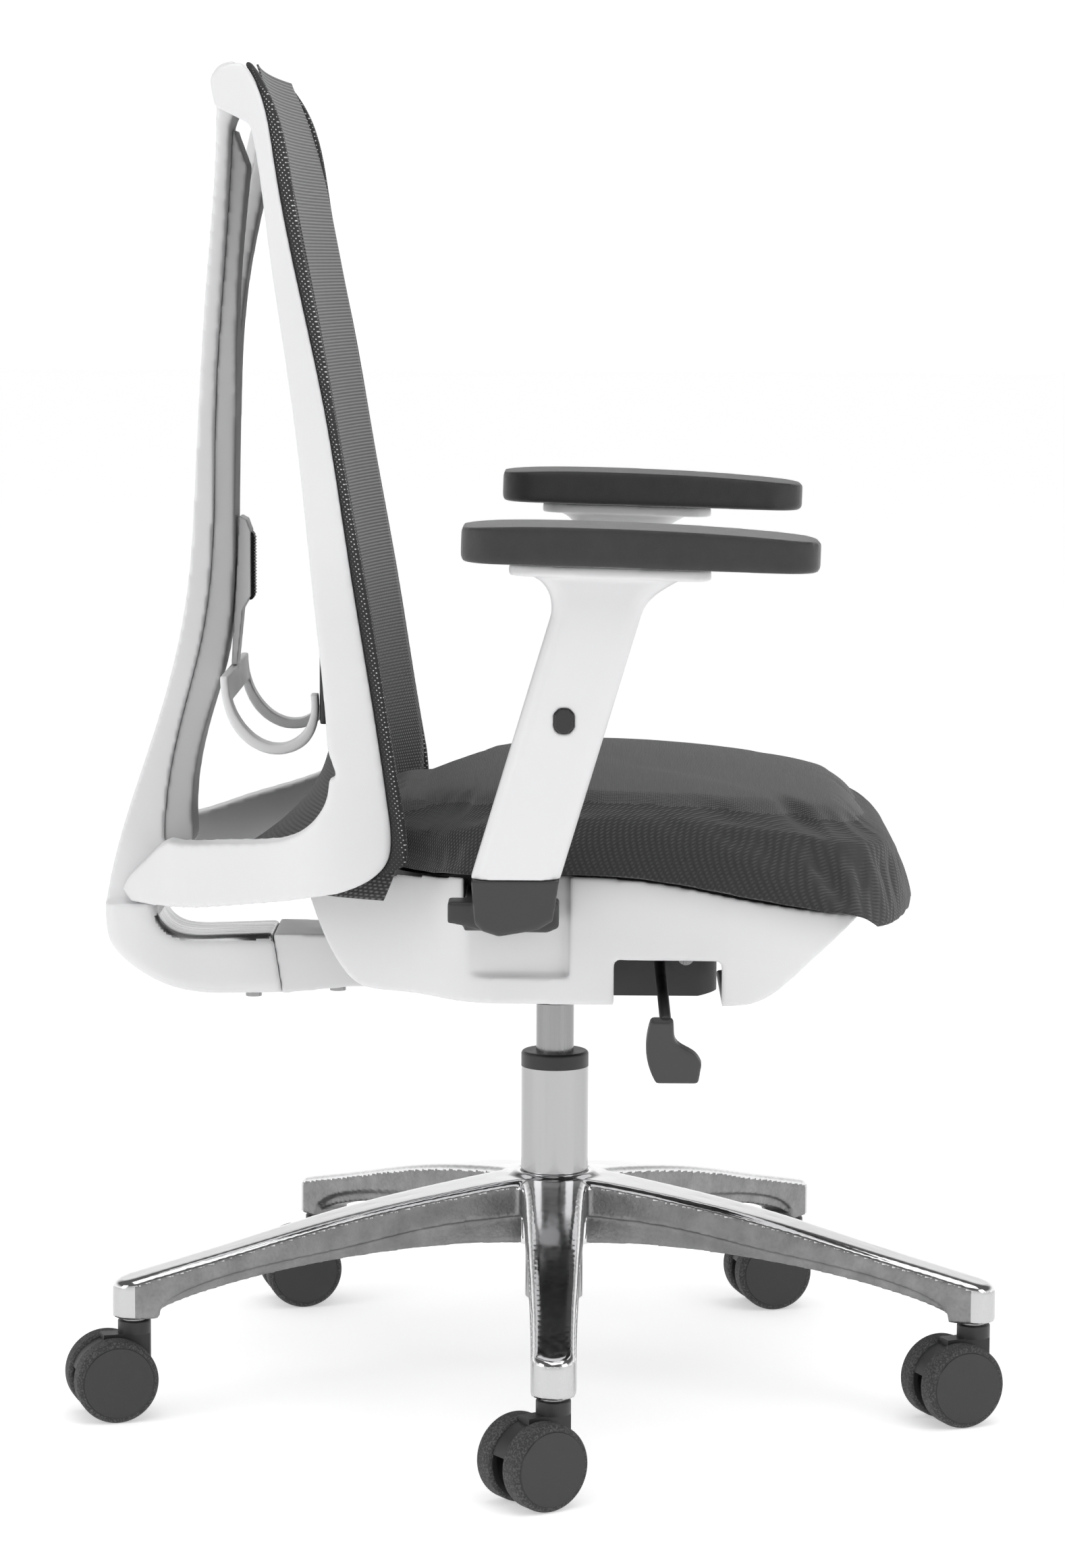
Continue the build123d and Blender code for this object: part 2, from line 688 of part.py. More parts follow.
# ---------------------------------------------------------------- back: carrier and bracket
seam_front = 204.0
bolt_x = 22.0
bolt_r = 3.0
with BuildPart() as back_carrier:
    with BuildSketch(Plane.YZ):
        with BuildLine():
            Line((seam_front - 4, 300), (245, 299))
            Spline((245, 299), (292, 308), (322, 330), (330, spine_foot_z), tangents=[(1, 0), (0, 1)])
            Line((330, spine_foot_z), (292, spine_foot_z))
            Spline((292, spine_foot_z), (284, 348), (258, 342), tangents=[(0, -1), (-1, 0)])
            Line((258, 342), (seam_front + 3, 344))
            Line((seam_front + 3, 344), (seam_front - 4, 300))
        make_face()
    extrude(amount=carrier_half_x, both=True)
    side_edges = back_carrier.edges().filter_by(lambda e: abs(e.center().X) > carrier_half_x - 1)
    long_edges = side_edges.filter_by(lambda e: e.center().Z < 345 and e.length > 30)
    fillet(long_edges.filter_by(lambda e: e.center().Y > 215), radius=9)
    with Locations((-bolt_x, 222, 290), (bolt_x, 222, 290)):
        Cylinder(bolt_r, 100, mode=Mode.SUBTRACT)
save(back_carrier, "back_carrier")

with BuildPart() as back_bracket:
    with BuildSketch(Plane.YZ):
        with BuildLine():
            Line((seam_front - 4.2, 300), (150, 305))
            Line((150, 305), (98, 306))
            Line((98, 306), (98, 343))
            Line((98, 343), (seam_front + 2.8, 344))
            Line((seam_front + 2.8, 344), (seam_front - 4.2, 300))
        make_face()
    extrude(amount=carrier_half_x - 3, both=True)
    with BuildSketch(Plane.YZ):
        with BuildLine():
            Polyline((100, 308), (recline_y, recline_z - 15), (recline_y, recline_z + 15), (100, 341),
                     close=True)
        make_face()
        with Locations((recline_y, recline_z)):
            Circle(15)
    extrude(amount=tongue_half_x, both=True)
    with BuildSketch(Plane.YZ):
        with Locations((recline_y, recline_z)):
            Circle(pin_r + 0.05)
    extrude(amount=100, both=True, mode=Mode.SUBTRACT)
    with Locations((-bolt_x, 160, 290), (bolt_x, 160, 290)):
        Cylinder(bolt_r, 100, mode=Mode.SUBTRACT)
save(back_bracket, "back_bracket")

with BuildPart() as carrier_bolts:
    for bolt_y, under in ((160, 303.3), (222, 298.8)):
        with Locations((-bolt_x, bolt_y, under), (bolt_x, bolt_y, under)):
            Cylinder(bolt_r, 30, align=(Align.CENTER, Align.CENTER, Align.MIN))
            Cylinder(6, 3, align=(Align.CENTER, Align.CENTER, Align.MAX))
save(carrier_bolts, "carrier_bolts")

# ---------------------------------------------------------------- back: spine and its arms
spine_rear = ((330, spine_foot_z), (311, 441), (291, 501), (270, 590), (263, 680), (259, 749), (252, 818),
              (241, 884), (233, 938))
spine_split = ((287, 410), (274, 501), (259, 560), (249, 681), (247, 749), (240, 818), (231, 884), (225, 926))
spine_front = ((266, 419), (254, 504), (244.5, 536), (234.5, 652), (233, 730), (229, 818), (222, 870),
               (217, 900))


def fork_outline(half, reach):
    """Front view of the spine: a stem that splits into two arms reaching the top corners."""
    with BuildSketch(Plane.XZ) as fork:
        with BuildLine():
            Line((0, 300), (half, 300))
            Line((half, 300), (half, split_z - 60))
            Spline((half, split_z - 60), (reach * 0.52, 868), (reach, 946), tangents=[(0, 1), (1, 0.75)])
            Line((reach, 946), (reach, 985))
            Line((reach, 985), (reach - 24, 972))
            Spline((reach - 24, 972), (reach * 0.42, 900), (0, split_z + 14),
                   tangents=[(-1, -0.7), (-0.55, -1)])
            mirror(about=Plane.YZ)
        make_face()
    return fork.sketch


with BuildPart() as back_spine:
    with BuildSketch(Plane.YZ):
        with BuildLine():
            Spline(*spine_rear)
            Line(spine_rear[-1], (235, 955))
            Spline((235, 955), (231, 965), (219, 969), tangents=[(0, 1), (-1, 0.1)])
            Line((219, 969), (219, 938))
            Line((219, 938), spine_split[-1])
            Spline(*reversed(spine_split))
            Polyline(spine_split[0], (266, 410), (290, spine_foot_z), spine_rear[0])
        make_face()
    extrude(amount=240, both=True)
    add(fork_outline(spine_half_x, rail_inner_x))
    extrude(amount=600, dir=(0, 1, 0), mode=Mode.INTERSECT)
save(back_spine, "back_spine")

with BuildPart() as spine_insert:
    with BuildSketch(Plane.YZ):
        with BuildLine():
            Spline(*spine_split)
            Line(spine_split[-1], spine_front[-1])
            Spline(*reversed(spine_front))
            Line(spine_front[0], (266, 410))
            Line((266, 410), spine_split[0])
        make_face()
    extrude(amount=240, both=True)
    add(fork_outline(spine_half_x - 3, rail_inner_x - 26))
    extrude(amount=600, dir=(0, 1, 0), mode=Mode.INTERSECT)
save(spine_insert, "spine_insert")

# ---------------------------------------------------------------- back: side rails with their wings
rail_front = ((213, 967), (204, 953), (192, 903), (177, 823), (158, 734), (140, 621), (124, 524), (113, 449))
wing_floor = ((149, 400), (190, 392), (231, 382), (274, 372), (310, 368))


def build_rail():
    """Rail from the top corner to the seat, curving back and inward as a wing that meets the spine."""
    with BuildPart() as rail:
        with BuildSketch(Plane.YZ):
            with BuildLine():
                Spline(*rail_front)
                Spline((113, 449), (115, 422), (149, 400), tangents=[(-0.1, -1), (1, -0.3)])
                Line((149, 400), (149, 480))
                Line((149, 480), (156, 500))
                Spline((156, 500), (165, 598), (180, 736), (196, 846), (208, 926),
                       tangents=[(0.05, 1), (0.25, 1)])
                Line((208, 926), (232, 938))
                Line((232, 938), (235, 955))
                Spline((235, 955), (223, 966), (213, 967), tangents=[(-0.2, 1), (-1, 0)])
            make_face()
        extrude(amount=240)
        with Locations((rail_inner_x, 160, 700)):
            Box(rail_outer_x - rail_inner_x, 400, 700, align=(Align.MIN, Align.CENTER, Align.CENTER),
                mode=Mode.INTERSECT)
    with BuildPart() as wing:
        with BuildSketch() as wing_plan:
            with BuildLine():
                Line((rail_outer_x, 110), (rail_outer_x, 146))
                Spline((rail_outer_x, 146), (188, 208), (120, 262), (spine_half_x, 322),
                       tangents=[(0, 1), (-1, 0.9)])
                Line((spine_half_x, 322), (spine_half_x, 292))
                Spline((spine_half_x, 292), (112, 244), (176, 194), (rail_inner_x, 146),
                       tangents=[(1, -0.5), (0, -1)])
                Line((rail_inner_x, 146), (rail_inner_x, 110))
                Line((rail_inner_x, 110), (rail_outer_x, 110))
            make_face()
        extrude(amount=600)
        with BuildSketch(Plane.YZ):
            with BuildLine():
                Line((149, 480), (149, 400))
                Spline(*wing_floor)
                Line(wing_floor[-1], (317, 376))
                Spline((317, 376), (300, 398), (277, 419), tangents=[(-0.3, 1), (-1, 0.5)])
                Spline((277, 419), (240, 425), (198, 433), (172, 444), (158, 462), (155, 480),
                       tangents=[(-1, 0), (0, 1)])
                Line((155, 480), (149, 480))
            make_face()
        extrude(amount=240, mode=Mode.INTERSECT)
    with BuildPart() as both:
        add(rail.part)
        add(wing.part)
    return both.part


# ---------------------------------------------------------------- back: mesh and its edge strips
edge_front = ((210, 969), (193, 942), (178, 874), (160, 782), (144, 690), (127, 597), (112, 504), (103, 452))


def corner_point(radius):
    """Point half way round the rounded top corner, seen from the front."""
    return corner_x + radius * cos(radians(45)), corner_z + radius * sin(radians(45))


def build_edge():
    """Dark strip along the front of a rail and round the top corner, which holds the mesh."""
    with BuildPart() as edge:
        with BuildSketch(Plane.YZ):
            with BuildLine():
                Spline(*rail_front)
                Spline((113, 449), (115, 422), (149, 400), tangents=[(-0.1, -1), (1, -0.3)])
                Line((149, 400), (149, 396))
                Spline((149, 396), (106, 412), (103, 452), tangents=[(-1, 0.25), (0.1, 1)])
                Spline(*reversed(edge_front))
                Line((210, 969), (213, 967))
            make_face()
        extrude(amount=240)
        with BuildSketch(Plane.XZ):
            with BuildLine():
                Polyline((rim_x, corner_z), (rim_x, 380), (edge_outer_x, 380), (edge_outer_x, corner_z))
                ThreePointArc((edge_outer_x, corner_z), corner_point(edge_outer_x - corner_x),
                              (corner_x, corner_z + edge_outer_x - corner_x))
                Line((corner_x, corner_z + edge_outer_x - corner_x), (corner_x, corner_z + rim_x - corner_x))
                ThreePointArc((corner_x, corner_z + rim_x - corner_x), corner_point(rim_x - corner_x),
                              (rim_x, corner_z))
            make_face()
        extrude(amount=600, dir=(0, 1, 0), mode=Mode.INTERSECT)
    return edge.part


side_pieces = {"back_rail": build_rail(), "mesh_edge": build_edge()}
for piece, shape in side_pieces.items():
    for hand in ("left", "right"):
        with BuildPart() as side_piece:
            add(shape if hand == "left" else mirror(shape, about=Plane.YZ))
        save(side_piece, f"{piece}_{hand}")

mesh_levels = ((968, 207, 5, 172), (961, 204.3, 5.6, 174), (955, 202.2, 6.2, 190), (945, 198.4, 7.2, 200),
               (933, 194, 8.5, rim_x),
               (900, 184, 11, rim_x), (782, 161, 20, rim_x), (690, 145, 25, rim_x), (597, 128, 33, rim_x),
               (504, 113, 49, rim_x), (457, 105, 66, rim_x), (420, 106, 96, rim_x), (393, 118, 128, rim_x))
with BuildPart() as back_mesh:
    for level, rim_y, sag, half in mesh_levels:
        rear_y = rim_y + mesh_thick
        with BuildSketch(Plane.XY.offset(level)):
            with BuildLine():
                ThreePointArc((-half, rim_y), (0, rim_y + sag), (half, rim_y))
                Line((half, rim_y), (half, rear_y))
                ThreePointArc((half, rear_y), (0, rear_y + sag), (-half, rear_y))
                Line((-half, rear_y), (-half, rim_y))
            make_face()
    loft(ruled=True)
save(back_mesh, "back_mesh")

# ---------------------------------------------------------------- lumbar support
with BuildPart() as lumbar_slider:
    with BuildSketch(Plane.YZ):
        with BuildLine():
            Polyline((232.4, 649), (227, 646), (224, 638), (224, 590), (230, 580), (234, 540), (238.2, 540),
                     (237.2, 560), (234.6, 600), (233.6, 620), close=True)
        make_face()
    extrude(amount=15, both=True)
save(lumbar_slider, "lumbar_slider")

yoke_outer = ((240, 539), (238, 520), (229, 499), (208, 484), (192, 483.5), (176, 493),
              (170.4, 508), (170.4, 526))
yoke_inner = ((234, 539), (232, 521), (223.5, 504), (206, 491), (194, 490.5), (181, 499),
              (175.5, 511), (175.5, 526))
with BuildPart() as lumbar_yoke:
    with BuildSketch(Plane.YZ):
        with BuildLine():
            Spline(*yoke_outer)
            Line(yoke_outer[-1], yoke_inner[-1])
            Spline(*reversed(yoke_inner))
            Line(yoke_inner[0], yoke_outer[0])
        make_face()
    extrude(amount=97, both=True)
    with Locations((0, 200, 440)):
        Box(158, 120, 160, mode=Mode.SUBTRACT)
    with Locations((0, 180, 510)):
        Box(158, 60, 100, mode=Mode.SUBTRACT)
save(lumbar_yoke, "lumbar_yoke")

with BuildPart() as lumbar_pad:
    with BuildSketch(Plane.XY.offset(505)):
        with BuildLine():
            ThreePointArc((-100, 162), (0, 169), (100, 162))
            Line((100, 162), (100, 168))
            ThreePointArc((100, 168), (0, 172.5), (-100, 168))
            Line((-100, 168), (-100, 162))
        make_face()
    extrude(amount=65)
    pad_ends = lumbar_pad.edges().filter_by(lambda e: abs(abs(e.center().X) - 100) < 0.1)
    fillet(pad_ends.filter_by(lambda e: e.length < 7), radius=2)
save(lumbar_pad, "lumbar_pad")
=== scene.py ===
"""Looks for a swivel office chair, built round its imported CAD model."""

import json
from math import atan2, cos, pi, sqrt

import bmesh
import bpy
import numpy as np
from mathutils import Matrix, Vector
from mathutils.bvhtree import BVHTree


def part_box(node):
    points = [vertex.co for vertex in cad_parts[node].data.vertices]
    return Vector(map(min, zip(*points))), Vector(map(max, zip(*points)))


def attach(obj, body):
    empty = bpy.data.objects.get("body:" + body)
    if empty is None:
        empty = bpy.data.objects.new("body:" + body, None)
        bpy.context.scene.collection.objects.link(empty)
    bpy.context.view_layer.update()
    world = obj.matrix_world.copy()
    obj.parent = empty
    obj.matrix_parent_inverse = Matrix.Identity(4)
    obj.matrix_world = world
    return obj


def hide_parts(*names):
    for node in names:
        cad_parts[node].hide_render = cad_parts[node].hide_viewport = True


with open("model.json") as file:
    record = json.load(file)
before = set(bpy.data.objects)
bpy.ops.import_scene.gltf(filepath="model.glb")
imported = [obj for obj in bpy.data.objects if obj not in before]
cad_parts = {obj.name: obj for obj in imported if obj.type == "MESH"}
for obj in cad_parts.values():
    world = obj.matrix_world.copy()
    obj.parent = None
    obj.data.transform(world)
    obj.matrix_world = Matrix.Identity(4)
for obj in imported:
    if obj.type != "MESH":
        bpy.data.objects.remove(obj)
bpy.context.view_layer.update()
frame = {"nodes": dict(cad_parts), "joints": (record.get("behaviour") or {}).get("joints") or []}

nodes = frame["nodes"]
joints = {joint["name"]: joint for joint in frame["joints"]}
HANDS = ("left", "right")
CASTERS = range(1, 6)


# ---------------------------------------------------------------- materials
class Finish:
    """A node material: a Principled shader and the nodes that feed it, in object coordinates."""

    def __init__(self, name, color, roughness, metallic=0.0, specular=0.5):
        self.material = bpy.data.materials.new(name)
        self.material.use_nodes = True
        self.tree = self.material.node_tree
        self.shader = self.tree.nodes["Principled BSDF"]
        self.shader.inputs["Base Color"].default_value = (*color, 1)
        self.shader.inputs["Roughness"].default_value = roughness
        self.shader.inputs["Metallic"].default_value = metallic
        self.shader.inputs["Specular IOR Level"].default_value = specular
        self.place = self.tree.nodes.new("ShaderNodeTexCoord").outputs["Object"]
        self.normal = None

    def node(self, kind, **settings):
        """A new node with its properties set."""
        made = self.tree.nodes.new(kind)
        for key, value in settings.items():
            setattr(made, key, value)
        return made

    def feed(self, socket, value):
        """Links a socket to another's output, or sets it to a number."""
        if isinstance(value, bpy.types.NodeSocket):
            self.tree.links.new(value, socket)
        else:
            socket.default_value = value

    def sum(self, operation, *values):
        """The result of a Math node."""
        made = self.node("ShaderNodeMath", operation=operation)
        for socket, value in zip(made.inputs, values):
            self.feed(socket, value)
        return made.outputs[0]

    def stretched(self, x, y, z):
        """Object coordinates scaled by axis."""
        made = self.node("ShaderNodeMapping")
        self.feed(made.inputs["Vector"], self.place)
        made.inputs["Scale"].default_value = (x, y, z)
        return made.outputs[0]

    def axes(self):
        """The x, y and z of the object coordinates, in metres."""
        made = self.node("ShaderNodeSeparateXYZ")
        self.feed(made.inputs[0], self.place)
        return made.outputs

    def noise(self, scale, detail=2.0, where=None):
        """Smooth noise from 0 to 1, with that many features per metre."""
        made = self.node("ShaderNodeTexNoise")
        self.feed(made.inputs["Vector"], where or self.place)
        made.inputs["Scale"].default_value = scale
        made.inputs["Detail"].default_value = detail
        return made.outputs["Fac"]

    def cells(self, scale, where=None):
        """Distance to the nearest of many scattered points."""
        made = self.node("ShaderNodeTexVoronoi")
        self.feed(made.inputs["Vector"], where or self.place)
        made.inputs["Scale"].default_value = scale
        return made.outputs["Distance"]

    def ripple(self, value, pitch, shift=0.0):
        """A sine of a length in metres, from 0 to 1, with that pitch."""
        angle = self.sum("MULTIPLY_ADD", value, 2 * pi / pitch, shift)
        return self.sum("MULTIPLY_ADD", self.sum("SINE", angle), 0.5, 0.5)

    def ramp(self, value, low, high, start=0.0, end=1.0):
        """A value turned into one between low and high."""
        made = self.node("ShaderNodeMapRange")
        self.feed(made.inputs["Value"], value)
        made.inputs["From Min"].default_value = start
        made.inputs["From Max"].default_value = end
        made.inputs["To Min"].default_value = low
        made.inputs["To Max"].default_value = high
        return made.outputs[0]

    def tint(self, value, dark, light):
        """Base colour between two colours."""
        made = self.node("ShaderNodeMix", data_type="RGBA")
        self.feed(made.inputs["Factor"], value)
        made.inputs["A"].default_value = (*dark, 1)
        made.inputs["B"].default_value = (*light, 1)
        self.feed(self.shader.inputs["Base Color"], made.outputs["Result"])

    def rough(self, value):
        """Roughness from a node."""
        self.feed(self.shader.inputs["Roughness"], value)

    def sheen(self, weight, roughness=0.5):
        """Soft glow of fibres at grazing angles."""
        self.shader.inputs["Sheen Weight"].default_value = weight
        self.shader.inputs["Sheen Roughness"].default_value = roughness

    def bump(self, height, distance, strength=1.0):
        """Relief, added on top of the relief so far."""
        made = self.node("ShaderNodeBump")
        self.feed(made.inputs["Height"], height)
        made.inputs["Distance"].default_value = distance
        made.inputs["Strength"].default_value = strength
        if self.normal:
            self.feed(made.inputs["Normal"], self.normal)
        self.normal = made.outputs[0]
        self.feed(self.shader.inputs["Normal"], self.normal)


def grey(level):
    return (level, level, level * 1.01)


def moulded(name, level, roughness, grain, relief):
    """Moulded plastic: a fine spark-eroded grain, a faint flow in the colour and uneven gloss."""
    finish = Finish(name, grey(level), roughness)
    flow = finish.noise(9, 3)
    finish.tint(flow, grey(level * 0.96), grey(level * 1.03))
    finish.rough(finish.ramp(finish.noise(60, 4), roughness - 0.05, roughness + 0.05, 0.3, 0.7))
    finish.bump(finish.noise(grain, 3), relief)
    return finish


def metal(name, level, roughness, streak):
    """Bare metal with streaks of polish along one axis."""
    finish = Finish(name, grey(level), roughness, metallic=1.0)
    marks = finish.noise(1, 5, finish.stretched(*streak))
    finish.tint(marks, grey(level * 0.9), grey(level))
    finish.rough(finish.ramp(marks, roughness * 0.6, roughness * 1.5, 0.25, 0.75))
    finish.bump(marks, 0.00004)
    return finish


def cast_metal():
    """The unpolished sides of the base's webs: dull, with coarse grinding marks."""
    finish = Finish("cast_aluminium", grey(0.25), 0.4, metallic=1.0)
    grain = finish.noise(420, 6)
    finish.tint(finish.noise(60, 6), grey(0.15), grey(0.34))
    finish.rough(finish.ramp(grain, 0.3, 0.55, 0.3, 0.7))
    finish.bump(grain, 0.00035)
    return finish


def back_net():
    """Stretched net: fine level bars, with a row of holes between them low down."""
    finish = Finish("back_net", grey(0.12), 0.75)
    x, _, z = finish.axes()
    pitch = 0.0024
    bars = finish.ripple(z, pitch)
    row = finish.sum("ROUND", finish.sum("DIVIDE", z, pitch))
    columns = finish.ripple(x, pitch, finish.sum("MULTIPLY", row, pi))
    low_down = finish.ramp(z, 1.0, 0.0, 0.52, 0.62)
    holes = finish.sum("MULTIPLY", finish.sum("MULTIPLY", bars, columns), low_down)
    thread = finish.sum("SUBTRACT", bars, holes)
    finish.tint(thread, grey(0.022), grey(0.19))
    finish.bump(thread, 0.0006)
    finish.sheen(0.25)
    return finish


def edge_net():
    """The folded net over the rim: dark, with staggered light stitches along its front."""
    finish = Finish("edge_net", grey(0.05), 0.8)
    x, y, z = finish.axes()
    slope, bow, foot = 0.1001, 0.06, 0.0455
    front = finish.sum("MULTIPLY_ADD", finish.sum("MULTIPLY_ADD", z, bow, slope), z, foot)
    across = finish.sum("SUBTRACT", y, front)
    pitch = 0.0034
    over = finish.sum("ADD", across, x)
    rising = finish.ripple(finish.sum("ADD", z, over), pitch)
    falling = finish.ripple(finish.sum("SUBTRACT", z, over), pitch)
    stitches = finish.ramp(finish.sum("MULTIPLY", rising, falling), 0.0, 1.0, 0.62, 0.85)
    near_front = finish.ramp(across, 1.0, 0.14, 0.0045, 0.0065)
    uneven = finish.ramp(finish.noise(160, 3), 0.6, 1.0, 0.35, 0.6)
    bright = finish.sum("MULTIPLY", finish.sum("MULTIPLY", stitches, near_front), uneven)
    finish.tint(bright, grey(0.026), grey(0.85))
    finish.bump(stitches, 0.0005)
    return finish


def seat_top_knit():
    """Fine knit of the cushion's top, with tiny lighter fibres."""
    finish = Finish("seat_top_knit", grey(0.05), 0.85)
    x, y, _ = finish.axes()
    loops = finish.sum("MULTIPLY", finish.ripple(x, 0.0016), finish.ripple(y, 0.0013))
    fibres = finish.ramp(finish.noise(900, 3), 0.0, 1.0, 0.62, 0.75)
    shade = finish.sum("MULTIPLY_ADD", fibres, 0.6, finish.sum("MULTIPLY", loops, 0.4))
    finish.tint(finish.sum("MULTIPLY_ADD", finish.noise(14, 3), 0.25, shade), grey(0.025), grey(0.09))
    finish.bump(loops, 0.0005)
    finish.sheen(0.35, 0.45)
    return finish


def seat_side_knit():
    """Coarser diamond knit of the cushion's sides."""
    finish = Finish("seat_side_knit", grey(0.03), 0.9)
    x, y, z = finish.axes()
    along = finish.sum("ADD", x, y)
    pitch = 0.0042
    rising = finish.ripple(finish.sum("ADD", along, z), pitch)
    falling = finish.ripple(finish.sum("SUBTRACT", along, z), pitch)
    diamonds = finish.sum("MULTIPLY", rising, falling)
    finish.tint(finish.sum("MULTIPLY_ADD", finish.noise(500, 3), 0.4, finish.sum("MULTIPLY", diamonds, 0.6)),
                grey(0.012), grey(0.055))
    finish.bump(diamonds, 0.0006)
    finish.sheen(0.2)
    return finish


def pad_skin():
    """Foamed skin of the arm pads: dark, soft and finely pebbled."""
    finish = Finish("pad_skin", grey(0.02), 0.55)
    pebbles = finish.cells(1500)
    finish.tint(finish.noise(30, 3), grey(0.016), grey(0.025))
    finish.sheen(0.5, 0.35)
    finish.rough(finish.ramp(finish.noise(90, 3), 0.5, 0.62, 0.3, 0.7))
    finish.bump(pebbles, 0.00012)
    return finish


def tyre_rubber():
    """Speckled grey tread."""
    finish = Finish("tyre_rubber", grey(0.1), 0.75)
    specks = finish.ramp(finish.noise(700, 4), 0.0, 1.0, 0.45, 0.65)
    finish.tint(specks, grey(0.028), grey(0.085))
    finish.bump(specks, 0.0002)
    return finish


WHITE = moulded("white_plastic", 0.74, 0.38, 1400, 0.00005)
# Painted shade: this grey, used only on the spine insert, stands for the shade on the spine's front face.
PAINTED_SHADE_GREY = moulded("grey_plastic", 0.52, 0.5, 1400, 0.00005)
BLACK = moulded("black_plastic", 0.018, 0.42, 1600, 0.00008)
DISC = moulded("caster_disc", 0.023, 0.36, 1800, 0.00008)
LEVER = moulded("lever_plastic", 0.034, 0.4, 1500, 0.00006)
PAINT = moulded("black_paint", 0.018, 0.45, 900, 0.00006)
STEEL = metal("ground_steel", 0.3, 0.22, (900, 900, 6))
CHROME = metal("polished_tube", 0.42, 0.12, (300, 300, 5))
ALUMINIUM = metal("polished_aluminium", 0.84, 0.1, (160, 160, 160))
BRUSHED = metal("brushed_aluminium", 0.55, 0.25, (400, 12, 60))
CAST = cast_metal()
NET = back_net()
EDGE = edge_net()
SEAT_TOP = seat_top_knit()
SEAT_SIDE = seat_side_knit()
PAD = pad_skin()
TYRE = tyre_rubber()


def dress(obj, *finishes):
    """Gives an object its materials, in place of any that it has."""
    obj.data.materials.clear()
    for finish in finishes:
        obj.data.materials.append(finish.material)


# ---------------------------------------------------------------- mesh helpers
def read(mesh):
    """Vertex positions of a mesh as rows."""
    places = np.empty(len(mesh.vertices) * 3, np.float32)
    mesh.vertices.foreach_get("co", places)
    return places.reshape(-1, 3).astype(float)


def write(mesh, places):
    mesh.vertices.foreach_set("co", places.astype(np.float32).ravel())
    mesh.update()


def shown(name, mesh):
    """A new object in the scene."""
    obj = bpy.data.objects.new(name, mesh)
    bpy.context.scene.collection.objects.link(obj)
    return obj


def settled(obj):
    """The object with its modifiers applied."""
    bpy.context.view_layer.update()
    result = bpy.data.meshes.new_from_object(obj.evaluated_get(bpy.context.evaluated_depsgraph_get()))
    obj.modifiers.clear()
    obj.data = result
    return obj


def remeshed(obj, voxel):
    """Gives an object an even mesh."""
    even = obj.modifiers.new("even", "REMESH")
    even.mode = "VOXEL"
    even.voxel_size = voxel


def smoothed(obj, rounds, factor=0.5):
    """Rounds over an object's edges, or with a factor below 0 undoes part of that."""
    soften = obj.modifiers.new("soften", "SMOOTH")
    soften.factor = factor
    soften.iterations = rounds


def softened(source, name, voxel, rounds, finish, body):
    """A copy of a CAD node, or of several as one skin, with its sharp edges rounded over."""
    members = [source] if isinstance(source, str) else source
    joined = bmesh.new()
    for node in members:
        joined.from_mesh(nodes[node].data)
    mesh = bpy.data.meshes.new(name)
    joined.to_mesh(mesh)
    joined.free()
    piece = shown(name, mesh)
    remeshed(piece, voxel)
    smoothed(piece, rounds)
    settled(piece)
    piece.data.shade_smooth()
    dress(piece, finish)
    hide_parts(*members)
    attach(piece, body)
    return piece


def tree_of(mesh):
    """A mesh's surface, ready for casting rays at it."""
    return BVHTree.FromPolygons([v.co for v in mesh.vertices], [p.vertices for p in mesh.polygons])


def normals_of(mesh):
    """Vertex normals of a mesh as rows."""
    return np.array([v.normal for v in mesh.vertices])


def faces_of(obj):
    """Centres and normals of an object's faces, as rows."""
    count = len(obj.data.polygons)
    centres = np.empty(count * 3, np.float32)
    normals = np.empty(count * 3, np.float32)
    obj.data.polygons.foreach_get("center", centres)
    obj.data.polygons.foreach_get("normal", normals)
    return centres.reshape(-1, 3), normals.reshape(-1, 3)


def choose(obj, mask):
    """Gives each face the material whose number stands in the mask, 0 being the first."""
    obj.data.polygons.foreach_set("material_index", np.asarray(mask).astype(np.int32))
    obj.data.update()


# ---------------------------------------------------------------- hard parts that keep their CAD shape
def finish_cad_nodes():
    """Materials for the CAD nodes that show as they are."""
    plain = {
        "column_tube": CHROME, "column_collar": BLACK, "gas_rod": STEEL, "mechanism_housing": PAINT,
        "mechanism_cover": PAINT, "pivot_pins": STEEL, "tilt_springs": STEEL, "lever_shaft": BLACK,
        "seat_pan": BLACK, "seat_carrier": PAINT, "carrier_bolts": STEEL,
    }
    for hand in HANDS:
        plain[f"arm_button_{hand}"] = BLACK
    for index in CASTERS:
        plain[f"caster_{index}_hood"] = BLACK
        plain[f"caster_{index}_stem"] = STEEL
        plain[f"caster_{index}_axle"] = STEEL
    for name, finish in plain.items():
        dress(nodes[name], finish)


def make_base():
    """Five-star base with softened edges, polished above and left as cast on the webs below."""
    base = softened("five_star_base", "base_star", 0.0018, 3, ALUMINIUM, "base")
    dress(base, ALUMINIUM, CAST, BRUSHED)
    centres, normals = faces_of(base)
    hub_radius = 0.037
    tip_start = 0.322
    star = 2 * pi / 5
    turn = np.arctan2(centres[:, 1], centres[:, 0]) - atan2(*reversed(socket_place(1)))
    turn = (turn + star / 2) % star - star / 2
    radius = np.hypot(centres[:, 0], centres[:, 1])
    upright = normals[:, 2] < 0.3
    tip = radius * np.cos(turn) > tip_start
    choose(base, (upright & ~tip & (radius > hub_radius)) + 2 * (upright & tip))


def socket_place(index):
    """X and Y of a caster's swivel axis."""
    return joints[f"caster_{index}_swivel"]["pos_m"][:2]


